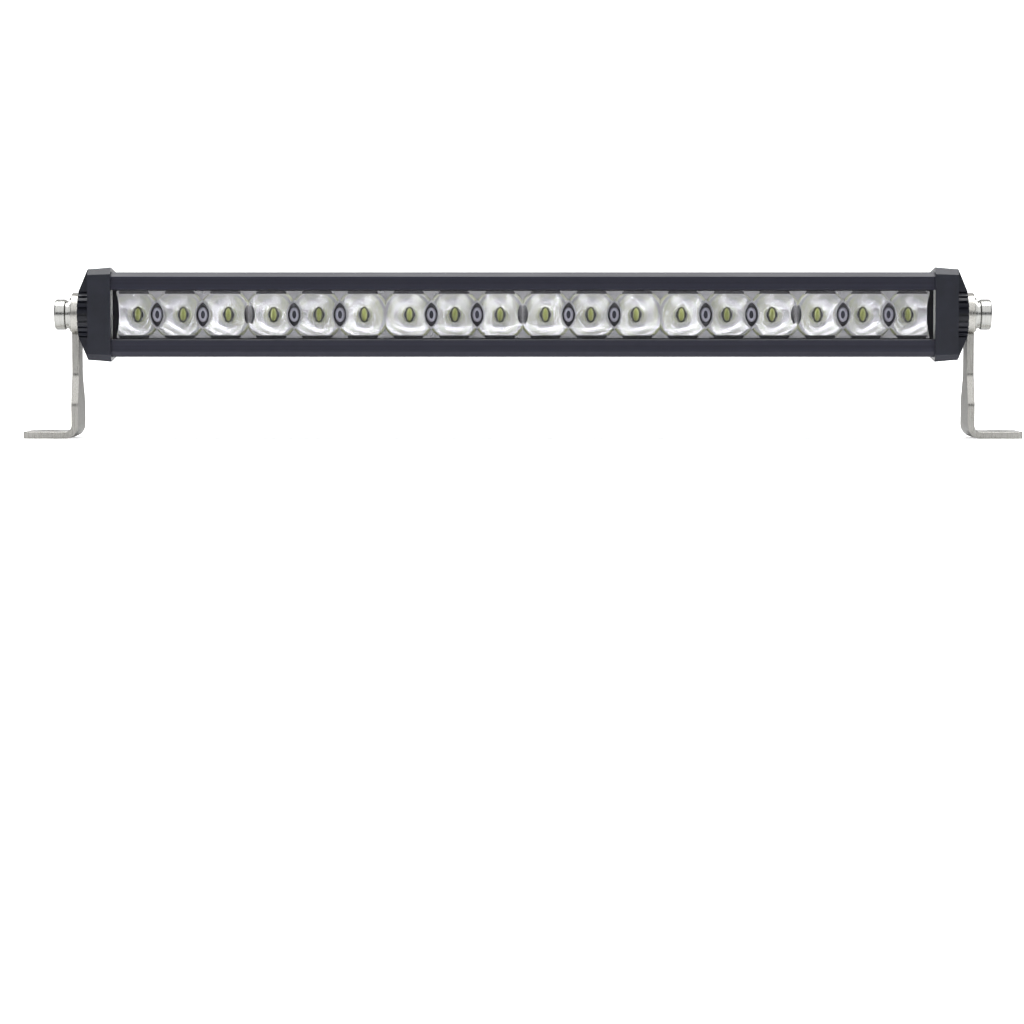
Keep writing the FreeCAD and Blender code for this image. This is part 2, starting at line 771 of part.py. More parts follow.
def make_chips(number, module):
    """Six LEDs on their board: a ceramic base and a silicone dome each."""
    body = new_body(f"led_chips_{number}")
    put_on_pivot(body, f"{module} * module_length")
    board_front = "module_front + module_depth"
    base = new_sketch(body, "XZ_Plane", "base", f"-({board_front})", first_cup())
    draw_upright_slot(base, "0", "led_width", "led_height")
    first = pad(body, base, "led_base_thickness", back=False)
    dome_plane = f"-({board_front} - led_base_thickness)"
    dome = new_sketch(body, "XZ_Plane", "dome", dome_plane, first_cup())
    draw_oval(dome, "0", "led_dome_width", "led_dome_height")
    second = pad(body, dome, "led_dome_thickness", back=False)
    row = repeat(body, first, "X_Axis", "led_pitch", LED_COUNT_PER_MODULE)
    row.Originals = [first, second]
    document.recompute()


def make_fasteners():
    """Quarter-turn pins with oval heads, which hold the reflectors and boards to the housing."""
    body = new_body("reflector_fasteners")
    floor = "module_front + well_top_drop + well_depth"
    top = f"({floor} - fastener_head_thickness)"
    heads = new_sketch(body, "XZ_Plane", "heads", f"-({floor})")
    slots = new_sketch(body, "XZ_Plane", "slots", f"-{top}")
    shanks = new_sketch(body, "XZ_Plane", "shanks", f"-({floor})")
    for x in fastener_places():
        draw_oval(heads, x, "fastener_head_width", "fastener_head_height")
        draw_oval(slots, x, "fastener_slot_width", "fastener_slot_height")
        draw_circle(shanks, x, "0", "fastener_shank_radius")
    pad(body, heads, "fastener_head_thickness", back=False)
    top_y = value(top)
    crest = "fastener_head_thickness / 2"
    dress(body, "Fillet", crest, lambda edge: abs(edge.BoundBox.YMax - top_y) < SAME_PLACE)
    pocket(body, slots, "fastener_slot_depth", back=False)
    pad(body, shanks, f"web_back - fastener_tip_gap - ({floor})", back=True)


def make_light_engine():
    board_front = "module_front + module_depth"
    for number, module in MODULES.items():
        make_reflector(number, module)
        make_strip(f"led_board_{number}", module, board_front, "board_thickness")
        make_strip(f"thermal_pad_{number}", module, f"{board_front} + board_thickness", "pad_thickness")
        make_chips(number, module)
    make_fasteners()


# --- end caps ---------------------------------------------------------------------------------


def cap_outline():
    """Section of a cap as corners of (y, z)."""
    corner = "cap_chamfer"
    return [
        ("cap_front", f"-(cap_half_height - {corner})"),
        ("cap_front", f"cap_half_height - {corner}"),
        (f"cap_front + {corner}", "cap_half_height", "cap_edge_round"),
        (f"cap_rear - {corner}", "cap_rear_half", "cap_edge_round"),
        ("cap_rear", f"cap_rear_half - {corner}"),
        ("cap_rear", f"-(cap_rear_half - {corner})"),
        (f"cap_rear - {corner}", "-cap_rear_half", "cap_edge_round"),
        (f"cap_front + {corner}", "-cap_half_height", "cap_edge_round"),
    ]


def add_spine(body):
    """A sloping rib that runs from the cap's top and bottom edges to the end of the boss."""
    sketch = new_sketch(body, "XZ_Plane", "spine")
    edge = "(cap_half_height - (cap_shoulder - cap_skirt_start) * cap_end_slope)"
    corners = [
        ("cap_shoulder - overcut", f"-{edge}"),
        ("spine_start", f"-{edge}"),
        ("cap_end", "-spine_end_half"),
        ("cap_end", "spine_end_half"),
        ("spine_start", edge),
        ("cap_shoulder - overcut", edge),
    ]
    draw_outline(sketch, corners)
    pad(body, sketch, "spine_half_depth * 2", both=True)


def cut_notches(body):
    """Grip notches round the rim of the boss."""
    sketch = new_sketch(body, "YZ_Plane", "notch", "cap_end")
    half = "notch_width / 2"
    draw_box(sketch, "boss_radius - notch_depth", f"-{half}", "boss_radius + notch_depth", half)
    notch = pocket(body, sketch, "cap_end - notch_start", back=False)
    ring = body.newObject("PartDesign::PolarPattern", "notch_ring")
    ring.Originals = [notch]
    ring.Axis = (origin_feature(body, "X_Axis"), [""])
    ring.Angle = 360
    ring.Occurrences = NOTCH_COUNT
    body.Tip = ring
    document.recompute()


def make_end_cap():
    body = new_body("right_end_cap")
    section = new_sketch(body, "YZ_Plane", "section", "cap_skirt_start")
    draw_outline(section, cap_outline())
    block = pad(body, section, "cap_shoulder - cap_skirt_start")
    block.setExpression("TaperAngle", bound("-cap_draft"))
    document.recompute()
    if block.Shape.BoundBox.ZMax > value("cap_half_height") + CLEARLY_BEYOND:
        block.setExpression("TaperAngle", bound("cap_draft"))
        document.recompute()
    boss = new_sketch(body, "YZ_Plane", "boss", "cap_shoulder - overcut")
    draw_circle(boss, "0", "0", "boss_radius")
    pad(body, boss, "cap_end - cap_shoulder + overcut")
    add_spine(body)
    cut_notches(body)
    sleeve = new_sketch(body, "YZ_Plane", "sleeve", "housing_length / 2 + cap_gasket_thickness")
    draw_outline(sleeve, housing_outline("cap_sleeve_gap"))
    pocket(body, sleeve, "housing_length / 2 + cap_gasket_thickness - cap_skirt_start", back=False)
    cavity = new_sketch(body, "YZ_Plane", "cavity", "housing_length / 2 + cap_gasket_thickness")
    half = "cap_cavity_half"
    draw_box(cavity, "lens_seat", f"-{half}", "chamber_back", half)
    pocket(body, cavity, "cap_cavity_depth", back=True)
    bore = new_sketch(body, "YZ_Plane", "bore", "cap_end")
    draw_circle(bore, "0", "0", "insert_radius")
    pocket(body, bore, "insert_length", back=False)
    cut_cap_screw_holes(body)
    return body


def cut_cap_screw_holes(body):
    holes = new_sketch(body, "YZ_Plane", "screw_holes", "cap_shoulder")
    sinks = new_sketch(body, "YZ_Plane", "screw_sinks", "cap_end")
    for y, z in cap_screw_places():
        draw_circle(holes, y, z, "cap_screw_radius + fastener_clearance")
        draw_circle(sinks, y, z, "cap_screw_head_radius + fastener_clearance * 2")
    pocket(body, holes, "cap_shoulder - cap_skirt_start", back=False)
    pocket(body, sinks, "cap_end - cap_shoulder + cap_screw_head_thickness", back=False)


def make_cap_gasket():
    body = new_body("right_cap_gasket")
    sketch = new_sketch(body, "YZ_Plane", "section", "housing_length / 2")
    draw_outline(sketch, housing_outline())
    pad(body, sketch, "cap_gasket_thickness")
    hole = new_sketch(body, "YZ_Plane", "hole", "housing_length / 2")
    half = "cap_cavity_half"
    draw_box(hole, "web_back", f"-{half}", "chamber_back", half)
    for y, z in cap_screw_places():
        draw_circle(hole, y, z, "cap_screw_radius + fastener_clearance")
    pocket(body, hole, "cap_gasket_thickness", back=True)
    return body


def make_cap_screws():
    """Four pan-head screws that hold the cap to the channels of the extrusion."""
    body = new_body("right_cap_screws")
    seat = "cap_shoulder - cap_screw_head_thickness"
    heads = new_sketch(body, "YZ_Plane", "heads", seat)
    shanks = new_sketch(body, "YZ_Plane", "shanks", seat)
    for y, z in cap_screw_places():
        draw_circle(heads, y, z, "cap_screw_head_radius")
        draw_circle(shanks, y, z, "cap_screw_radius")
    pad(body, heads, "cap_screw_head_thickness")
    outside = value("cap_shoulder") - CLEARLY_BEYOND
    dress(body, "Fillet", "cap_screw_head_thickness / 3", lambda edge: edge.BoundBox.XMin > outside)
    pad(body, shanks, "cap_screw_length", back=True)
    return body


def make_insert():
    """The threaded bush that is moulded into the boss."""
    body = new_body("right_pivot_insert")
    sketch = new_sketch(body, "YZ_Plane", "ring", "cap_end")
    draw_circle(sketch, "0", "0", "insert_radius")
    draw_circle(sketch, "0", "0", "bolt_radius")
    pad(body, sketch, "insert_length", back=True)
    return body


# --- pivots -----------------------------------------------------------------------------------


def stack(level):
    """x of the faces outboard of the bracket: 0 its own face, 1 and 2 those of the washers."""
    text = "bracket_inner + plate_thickness + axial_play"
    if level > 0:
        text += " + flat_washer_thickness"
    if level > 1:
        text += " + spring_washer_thickness"
    return text


def make_bolt():
    body = new_body("right_pivot_bolt")
    head = new_sketch(body, "YZ_Plane", "head", stack(2))
    draw_circle(head, "0", "0", "bolt_head_radius")
    pad(body, head, "bolt_head_thickness")
    dress(body, "Chamfer", "bolt_head_chamfer", lambda edge: len(edge.Vertexes) == 1)
    socket = new_sketch(body, "YZ_Plane", "socket", f"{stack(2)} + bolt_head_thickness")
    corner = f"bolt_socket_width / 2 * {FLAT_TO_CORNER}"
    turns = [(math.cos(math.radians(60 * i)), math.sin(math.radians(60 * i))) for i in range(HEX)]
    draw_outline(socket, [(f"{corner} * {c:.9f}", f"{corner} * {s:.9f}") for c, s in turns])
    pocket(body, socket, "bolt_socket_depth", back=False)
    shank = new_sketch(body, "YZ_Plane", "shank", "bolt_tip")
    draw_circle(shank, "0", "0", "bolt_radius")
    pad(body, shank, f"{stack(2)} - bolt_tip")
    return body


def make_flat_washer():
    body = new_body("right_flat_washer")
    sketch = new_sketch(body, "YZ_Plane", "ring", stack(0))
    draw_circle(sketch, "0", "0", "flat_washer_radius")
    draw_circle(sketch, "0", "0", "bolt_radius + bolt_clearance")
    pad(body, sketch, "flat_washer_thickness")
    return body


def make_spring_washer():
    """A ring with a slanting cut through it."""
    body = new_body("right_spring_washer")
    sketch = new_sketch(body, "YZ_Plane", "ring", stack(1))
    draw_circle(sketch, "0", "0", "spring_washer_radius")
    draw_circle(sketch, "0", "0", "bolt_radius + bolt_clearance")
    pad(body, sketch, "spring_washer_thickness")
    cut = new_sketch(body, "XZ_Plane", "cut")
    low_x, high_x = stack(1), stack(2)
    gap = "spring_washer_gap"
    corners = [(f"{low_x} - overcut", f"-{gap}"), (f"{high_x} + overcut", "0")]
    corners += [(f"{high_x} + overcut", gap), (f"{low_x} - overcut", "0")]
    draw_outline(cut, corners)
    pocket(body, cut, "spring_washer_radius + overcut", back=False)
    return body


# --- brackets ---------------------------------------------------------------------------------


def make_bracket():
    """A bent plate: slotted foot, wide lower arm, offset neck and round head."""
    body = new_body("right_bracket", on_pivot=False)
    outer = "bracket_inner + plate_thickness"
    profile = new_sketch(body, "XZ_Plane", "profile")
    corners = [
        ("bracket_inner", "shoulder_low - shoulder_overlap"),
        ("bracket_inner", "0", "bend_inner_radius + plate_thickness"),
        ("foot_tip", "0"),
        ("foot_tip", "plate_thickness"),
        (outer, "plate_thickness", "bend_inner_radius"),
        (outer, "shoulder_low - shoulder_overlap"),
    ]
    draw_outline(profile, corners)
    pad(body, profile, "bracket_half_width * 2", both=True)
    add_arm(body)
    dress_foot_corners(body)
    soften_plate_edges(body)
    slot = new_sketch(body, "XY_Plane", "slot", "plate_thickness")
    half = "foot_slot_length / 2"
    radius = "foot_slot_radius - arc_slack"
    low_x, high_x = f"foot_slot_offset - {half}", f"foot_slot_offset + {half}"
    ends = [(low_x, "-foot_slot_radius", radius), (high_x, "-foot_slot_radius", radius)]
    ends += [(high_x, "foot_slot_radius", radius), (low_x, "foot_slot_radius", radius)]
    draw_outline(slot, ends)
    pocket(body, slot, "plate_thickness", back=False)
    return body


def add_arm(body):
    neck = new_sketch(body, "YZ_Plane", "neck", "bracket_inner")
    round_in = "shoulder_radius"
    front, rear = "bracket_neck_front", "bracket_neck_rear"
    bottom = "shoulder_low - shoulder_overlap"
    corners = [
        ("-bracket_half_width", bottom),
        ("-bracket_half_width", "shoulder_low", round_in),
        (front, "shoulder_high", round_in),
        (front, "pivot_height"),
        (rear, "pivot_height"),
        (rear, "shoulder_high", round_in),
        ("bracket_half_width", "shoulder_low", round_in),
        ("bracket_half_width", bottom),
    ]
    draw_outline(neck, corners)
    pad(body, neck, "plate_thickness")
    head = new_sketch(body, "YZ_Plane", "arm_head", "bracket_inner")
    draw_circle(head, "pivot_setback", "pivot_height", "bracket_head_radius")
    pad(body, head, "plate_thickness")
    hole = new_sketch(body, "YZ_Plane", "pivot_hole", "bracket_inner")
    draw_circle(hole, "pivot_setback", "pivot_height", "bolt_radius + bolt_clearance")
    pocket(body, hole, "plate_thickness", back=True)


def dress_foot_corners(body):
    tip = value("foot_tip")

    def at_tip(edge):
        upright = edge.BoundBox.ZLength > 1 and edge.BoundBox.XLength + edge.BoundBox.YLength < SAME_PLACE
        return upright and abs(edge.BoundBox.XMax - tip) < SAME_PLACE

    dress(body, "Fillet", "foot_corner_radius", at_tip)


def soften_plate_edges(body):
    """Rounds the outboard edge of the arm and head, except where the foot begins."""
    outer = value("bracket_inner + plate_thickness")
    bottom = value("shoulder_low - shoulder_overlap")

    def on_outboard_rim(edge):
        bounds = edge.BoundBox
        flat = bounds.XLength < SAME_PLACE and abs(bounds.XMax - outer) < SAME_PLACE
        long = bounds.ZMin > bottom - SAME_PLACE and bounds.DiagonalLength > 1
        return flat and long and not is_pivot_hole(edge)

    dress(body, "Fillet", "plate_edge_round", on_outboard_rim)


def is_pivot_hole(edge):
    return len(edge.Vertexes) == 1 and edge.BoundBox.ZLength < value("bolt_radius") * 3


# --- fittings on the back ---------------------------------------------------------------------


def make_gland():
    """Cable gland on the left of the back: body, sealing ring, bush, nut and inner locknut."""
    x = "-port_offset"
    wall = "fin_groove_floor"
    flange = f"{wall} + gland_oring_thickness"
    neck = f"{flange} + gland_hex_thickness"
    inside = "chamber_back - locknut_thickness"
    through = "gland_neck_length + gland_hex_thickness + gland_bore_reach"

    shank = rod("gland_shank", "gland_hole_radius - bolt_clearance", f"{flange} - ({inside})", x, inside)
    hexed = hexagon("gland_flange", "gland_hex_radius", "gland_hex_thickness", x, flange)
    stem = rod("gland_stem", "gland_neck_radius", "gland_neck_length", x, neck)
    solid = combine("MultiFuse", "gland_solid", [shank, hexed, stem])
    bore = rod("gland_bore", "gland_bore_radius", through, x, f"{inside} - overcut")
    subparts.append(combine("Cut", "gland_body", [solid, bore]))

    ring = rod("gland_ring_outer", "gland_hole_radius + oring_width", "gland_oring_thickness", x, wall)
    ring_hole = rod("gland_ring_inner", "gland_hole_radius", "gland_oring_thickness", x, wall)
    subparts.append(combine("Cut", "gland_oring", [ring, ring_hole]))

    nut_start = f"{neck} + gland_nut_wall_gap"
    block = hexagon("gland_nut_block", "gland_hex_radius", "gland_nut_length", x, nut_start)
    dome = document.addObject("Part::Cone", "gland_nut_dome")
    dome.setExpression("Radius1", bound("gland_hex_radius + gland_nut_length - gland_dome_drop"))
    dome.setExpression("Radius2", bound("gland_hex_radius - gland_dome_drop"))
    dome.setExpression("Height", bound("gland_nut_length"))
    lying(dome, x, f"pivot_setback + {nut_start}", "pivot_height")
    shaped = combine("MultiCommon", "gland_nut_shaped", [block, dome])
    thread = "gland_neck_radius + gland_nut_wall_gap"
    cavity_length = "gland_neck_length + gland_nut_wall_gap"
    cavity = rod("gland_nut_cavity", thread, cavity_length, x, nut_start)
    mouth = rod("gland_nut_mouth", "gland_mouth_radius", "gland_nut_length + overcut", x, nut_start)
    hollow = combine("MultiFuse", "gland_nut_hollow", [cavity, mouth])
    subparts.append(combine("Cut", "gland_nut", [shaped, hollow]))

    seal_length = "gland_neck_length - gland_seal_inset"
    bush = rod("gland_bush_outer", "gland_bore_radius", seal_length, x, f"{neck} + gland_seal_inset")
    bush_hole = rod("gland_bush_inner", "cable_radius", seal_length, x, f"{neck} + gland_seal_inset")
    subparts.append(combine("Cut", "gland_seal", [bush, bush_hole]))

    lock = hexagon("gland_lock_block", "gland_hex_radius", "locknut_thickness", x, inside)
    lock_hole = rod("gland_lock_hole", "gland_hole_radius", "locknut_thickness", x, inside)
    subparts.append(combine("Cut", "gland_locknut", [lock, lock_hole]))


def make_vent():
    """Breather plug on the right of the back, with its sealing ring."""
    x = "port_offset"
    wall = "fin_groove_floor"
    seat = f"{wall} + vent_ring_thickness"
    shank_length = f"{seat} - chamber_back"
    shank = rod("vent_shank", "vent_hole_radius - bolt_clearance", shank_length, x, "chamber_back")
    knob = rod("vent_knob", "vent_cap_radius", "vent_cap_thickness", x, seat)
    solid = combine("MultiFuse", "vent_solid", [shank, knob])
    bore = rod("vent_bore", "vent_bore_radius", shank_length, x, "chamber_back")
    subparts.append(combine("Cut", "vent_plug", [solid, bore]))
    ring = rod("vent_ring_outer", "vent_hole_radius + oring_width", "vent_ring_thickness", x, wall)
    ring_hole = rod("vent_ring_inner", "vent_hole_radius", "vent_ring_thickness", x, wall)
    subparts.append(combine("Cut", "vent_oring", [ring, ring_hole]))


# --- driver -----------------------------------------------------------------------------------


def make_driver():
    """The current driver in the rear chamber, with its parts in rows."""
    front = "pivot_setback + web_back"
    top = f"{front} + driver_board_thickness"
    low_x = "driver_centre - driver_length / 2"
    low_z = "pivot_height - driver_half_height"
    size = ("driver_length", "driver_board_thickness", "driver_half_height * 2")
    subparts.append(box("driver_board", (low_x, front, low_z), size))
    on_board = "web_back + driver_board_thickness"
    coils = []
    for number, share in enumerate(INDUCTOR_PLACES):
        x = f"driver_centre + driver_length * {share}"
        coils.append(rod(f"coil_{number}", "inductor_radius", "component_height", x, on_board))
    subparts.append(combine("Compound", "driver_inductors", coils))
    cans = []
    for number, share in enumerate(CAPACITOR_PLACES):
        x = f"driver_centre + driver_length * {share}"
        z = "pivot_height + driver_half_height / 2"
        cans.append(rod(f"can_{number}", "capacitor_radius", "component_height", x, on_board, z))
    subparts.append(combine("Compound", "driver_capacitors", cans))
    chips = []
    for number, share in enumerate(CHIP_PLACES):
        x = f"driver_centre + driver_length * {share}"
        z = "pivot_height - driver_half_height / 2 - driver_chip_side / 2"
        side = "driver_chip_side"
        chips.append(box(f"chip_{number}", (x, top, z), (side, "driver_chip_height", side)))
    subparts.append(combine("Compound", "driver_chips", chips))


# --- checks and export ------------------------------------------------------------------------


def check_document():
    for item in document.Objects:
        bad = {"Invalid", "Error"} & set(item.State)
        if bad:
            raise RuntimeError(f"{item.Label} is {bad}")
    for part in subparts:
        if part.Shape.isNull() or not part.Shape.isValid():
            raise RuntimeError(f"{part.Label} has no valid shape")


def export_parts():
    os.makedirs("parts", exist_ok=True)
    for part in subparts:
        part.Shape.exportStep(os.path.join("parts", part.Label + ".step"))
        volume = part.Shape.Volume / 1000
        print(f"{part.Label}: {len(part.Shape.Solids)} solid(s), {volume:.2f} cm3")


fill_sheet()
make_housing()
make_lens()
make_lens_gasket()
make_light_engine()
for maker in (
    make_end_cap,
    make_cap_gasket,
    make_cap_screws,
    make_insert,
    make_bolt,
    make_flat_washer,
    make_spring_washer,
    make_bracket,
):
    right = maker()
    mirrored(right, right.Label.replace("right", "left"))
make_gland()
make_vent()
make_driver()
document.recompute()
check_document()
export_parts()
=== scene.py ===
import json
import math

import bmesh
import bpy
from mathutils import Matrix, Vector


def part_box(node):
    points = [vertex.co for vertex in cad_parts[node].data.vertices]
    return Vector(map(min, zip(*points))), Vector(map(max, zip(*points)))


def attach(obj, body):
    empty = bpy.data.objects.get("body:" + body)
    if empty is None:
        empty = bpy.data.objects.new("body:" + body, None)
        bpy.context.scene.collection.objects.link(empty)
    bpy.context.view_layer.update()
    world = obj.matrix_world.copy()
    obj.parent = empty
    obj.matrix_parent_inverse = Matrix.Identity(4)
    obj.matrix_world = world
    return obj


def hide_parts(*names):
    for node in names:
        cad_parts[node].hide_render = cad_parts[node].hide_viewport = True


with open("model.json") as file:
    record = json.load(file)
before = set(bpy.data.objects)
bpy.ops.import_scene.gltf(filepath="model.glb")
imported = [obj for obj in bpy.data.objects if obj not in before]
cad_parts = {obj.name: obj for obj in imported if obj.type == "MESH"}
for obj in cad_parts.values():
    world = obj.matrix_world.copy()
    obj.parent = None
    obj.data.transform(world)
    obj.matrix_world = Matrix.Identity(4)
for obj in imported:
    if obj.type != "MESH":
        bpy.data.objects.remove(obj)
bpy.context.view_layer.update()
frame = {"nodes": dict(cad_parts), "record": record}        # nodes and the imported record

# LED light bar. Metres, +Z up, the light leaves towards -Y.

MM = 0.001
NODES = frame["nodes"]
SIDES = ("left", "right")
MODULES = (1, 2, 3)
CUPS_PER_MODULE = 6
LED_PITCH = 26 * MM

# The bowls of the reflectors, as the solids have them, and the facets laid a skin's thickness over them.
CUP_RIM_RADIUS = 15.4 * MM
CUP_BASE_RADIUS = 3.2 * MM
CUP_WALL_RADIUS = 33 * MM
CUP_DEPTH = 20 * MM
CUP_LEDGE = 11.7 * MM
LEDGE_DROP = 1.6 * MM
LEDGE_OVERHANG = 2 * MM
LEDGE_SHARE = 0.96
WINDOW_HALF = 13.9 * MM
FACET_SECTORS = 60
FACET_RINGS = 30
FACET_RISE = 0.08 * MM
SKIN = 0.12 * MM

# The LEDs, and the painted shade in the sockets in the heads of the fasteners.
LED_WIDTH = 4.0 * MM
LED_HEIGHT = 8.2 * MM
LED_OPENING = (4.6 * MM, 9.0 * MM)
LED_BASE_RISE = 0.8 * MM
LED_BASE_BEVEL = 0.15 * MM
LED_DOME = (3.2 * MM, 7.2 * MM)
LED_DOME_RISE = 1.5 * MM
SOCKET_SIZE = (2.5 * MM, 4.8 * MM)
SOCKET_TOP_DROP = 0.1 * MM
SOCKET_DEPTH = 1.1 * MM

# The eye-shaped wells: four with a fastener, counted in cups from the module's middle, and a deep one there.
FASTENED_JOINTS = (-2, -1, 1, 2)
WELL_EYE = (3.7 * MM, 7.1 * MM)
WELL_TOP_DROP = 0.6 * MM
WELL_DEPTH = 3.4 * MM
GATE_EYE = (3.1 * MM, 7.2 * MM)
GATE_TOP_DROP = 7.5 * MM
GATE_DEPTH = 14 * MM


def middle_of(node):
    """Middle of a node's box."""
    low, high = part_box(node)
    return (Vector(low) + Vector(high)) / 2


AXIS_HEIGHT = middle_of("right_pivot_bolt").z
RIM_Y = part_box("reflector_module_2")[0][1]
BOARD_Y = RIM_Y + CUP_DEPTH


# --- materials --------------------------------------------------------------------------------


class Paint:
    """A Principled material with procedural patterns in the object's own coordinates."""

    def __init__(self, name, colour, roughness, metallic=0.0, **sockets):
        self.material = bpy.data.materials.new(name)
        self.material.use_nodes = True
        self.tree = self.material.node_tree
        self.shader = self.tree.nodes["Principled BSDF"]
        self.colour = colour
        self.set("Base Color", (*colour, 1))
        self.set("Roughness", roughness)
        self.set("Metallic", metallic)
        for socket, value in sockets.items():
            self.set(socket.replace("_", " "), value)

    def set(self, socket, value):
        """Sets a constant on the shader's own socket."""
        self.shader.inputs[socket].default_value = value

    def add(self, kind, **settings):
        """A new node, with settings for its properties or its sockets."""
        node = self.tree.nodes.new("ShaderNode" + kind)
        for key, value in settings.items():
            if hasattr(node, key):
                setattr(node, key, value)
            else:
                node.inputs[key.replace("_", " ")].default_value = value
        return node

    def link(self, source, target):
        self.tree.links.new(source, target)

    def noise(self, scale, stretch=(1, 1, 1), detail=4.0, roughness=0.55):
        """A noise in object coordinates, squeezed more along the axes with a larger stretch."""
        place = self.add("TexCoord")
        mapping = self.add("Mapping", Scale=stretch)
        noise = self.add("TexNoise", Scale=scale, Detail=detail, Roughness=roughness)
        self.link(place.outputs["Object"], mapping.inputs["Vector"])
        self.link(mapping.outputs["Vector"], noise.inputs["Vector"])
        return noise.outputs["Fac"]

    def cells(self, scale, stretch=(1, 1, 1)):
        """Distance to the edges of irregular cells, in object coordinates."""
        place = self.add("TexCoord")
        mapping = self.add("Mapping", Scale=stretch)
        cells = self.add("TexVoronoi", feature="DISTANCE_TO_EDGE", Scale=scale)
        self.link(place.outputs["Object"], mapping.inputs["Vector"])
        self.link(mapping.outputs["Vector"], cells.inputs["Vector"])
        return cells.outputs["Distance"]

    def remap(self, source, low, high, to_low, to_high):
        """Stretches a range of the source over another range."""
        ramp = self.add("MapRange")
        ramp.inputs["From Min"].default_value = low
        ramp.inputs["From Max"].default_value = high
        ramp.inputs["To Min"].default_value = to_low
        ramp.inputs["To Max"].default_value = to_high
        self.link(source, ramp.inputs["Value"])
        return ramp.outputs["Result"]

    def vary_colour(self, source, other, low=0.3, high=0.7):
        """Runs from the base colour to another as the source runs from low to high."""
        ramp = self.add("ValToRGB")
        first, last = ramp.color_ramp.elements
        first.position, first.color = low, (*self.colour, 1)
        last.position, last.color = high, (*other, 1)
        self.link(source, ramp.inputs["Fac"])
        self.link(ramp.outputs["Color"], self.shader.inputs["Base Color"])

    def vary_roughness(self, source, smooth, rough, low=0.3, high=0.7):
        self.link(self.remap(source, low, high, smooth, rough), self.shader.inputs["Roughness"])

    def bump(self, source, height):
        """Relief of a height in metres."""
        bump = self.add("Bump", Strength=1.0, Distance=height)
        self.link(source, bump.inputs["Height"])
        self.link(bump.outputs["Normal"], self.shader.inputs["Normal"])


# Keeps the metals from turning white where they are seen edge on.
EDGE_TINT = (0.25, 0.25, 0.25, 1)


def anodised_black():
    paint = Paint("anodised_black", (0.006, 0.0062, 0.013), 0.34, Specular_IOR_Level=0.25)
    lines = paint.noise(60, (0.02, 14, 14), detail=6)
    paint.vary_colour(lines, (0.011, 0.0115, 0.022))
    paint.vary_roughness(paint.noise(90, (0.3, 3, 3)), 0.30, 0.44)
    paint.bump(lines, 0.00004)
    return paint.material


def powder_coat():
    paint = Paint("powder_coat", (0.005, 0.0057, 0.010), 0.42, Specular_IOR_Level=0.24)
    grain = paint.noise(2600, detail=3)
    paint.vary_colour(paint.noise(70, detail=5), (0.009, 0.0102, 0.017))
    paint.vary_roughness(grain, 0.34, 0.50)
    paint.bump(grain, 0.00006)
    return paint.material


def clear_lens():
    """Clear sheet that lets everything through but its own faint reflection."""
    material = bpy.data.materials.new("clear_polycarbonate")
    material.use_nodes = True
    tree = material.node_tree
    tree.nodes.remove(tree.nodes["Principled BSDF"])
    clear = tree.nodes.new("ShaderNodeBsdfTransparent")
    clear.inputs["Color"].default_value = (0.965, 0.965, 0.97, 1)
    gloss = tree.nodes.new("ShaderNodeBsdfGlossy")
    gloss.inputs["Roughness"].default_value = 0.03
    slant = tree.nodes.new("ShaderNodeLayerWeight")
    slant.inputs["Blend"].default_value = 0.5
    steep = tree.nodes.new("ShaderNodeMath")
    steep.operation = "POWER"
    steep.inputs[1].default_value = 5
    share = tree.nodes.new("ShaderNodeMapRange")
    share.inputs["To Min"].default_value = 0.035
    mix = tree.nodes.new("ShaderNodeMixShader")
    tree.links.new(slant.outputs["Facing"], steep.inputs[0])
    tree.links.new(steep.outputs["Value"], share.inputs["Value"])
    tree.links.new(share.outputs["Result"], mix.inputs["Fac"])
    tree.links.new(clear.outputs["BSDF"], mix.inputs[1])
    tree.links.new(gloss.outputs["BSDF"], mix.inputs[2])
    tree.links.new(mix.outputs["Shader"], tree.nodes["Material Output"].inputs["Surface"])
    return material


def metallised(name, tone, roughness):
    paint = Paint(name, (tone, tone, tone * 1.01), roughness, 0.85)
    haze = paint.noise(150, detail=2)
    paint.vary_colour(haze, (tone * 0.93, tone * 0.93, tone * 0.95))
    paint.vary_roughness(haze, roughness * 0.9, roughness * 1.1)
    return paint.material


def brushed_stainless():
    paint = Paint("brushed_stainless", (0.22, 0.215, 0.20), 0.30, 1.0, Specular_Tint=EDGE_TINT)
    strokes = paint.noise(220, (9, 9, 0.35), detail=6, roughness=0.65)
    paint.vary_colour(strokes, (0.30, 0.295, 0.28), 0.25, 0.75)
    paint.vary_roughness(strokes, 0.22, 0.36)
    paint.bump(strokes, 0.00002)
    return paint.material


def turned_stainless():
    paint = Paint("turned_stainless", (0.22, 0.22, 0.21), 0.24, 1.0, Specular_Tint=EDGE_TINT)
    rings = paint.noise(900, (4, 0.2, 0.2), detail=4)
    paint.vary_colour(rings, (0.30, 0.30, 0.29))
    paint.vary_roughness(rings, 0.16, 0.30)
    paint.bump(rings, 0.00001)
    return paint.material


def rubber():
    paint = Paint("black_rubber", (0.018, 0.018, 0.018), 0.75)
    grain = paint.noise(1500, detail=2)
    paint.vary_colour(grain, (0.03, 0.03, 0.03))
    paint.bump(grain, 0.00003)
    return paint.material


def moulded_nylon(name, colour, roughness):
    paint = Paint(name, colour, roughness)
    grain = paint.noise(1200, detail=3)
    paint.vary_colour(grain, tuple(c * 1.35 for c in colour))
    paint.vary_roughness(grain, roughness * 0.85, roughness * 1.15)
    paint.bump(grain, 0.00002)
    return paint.material


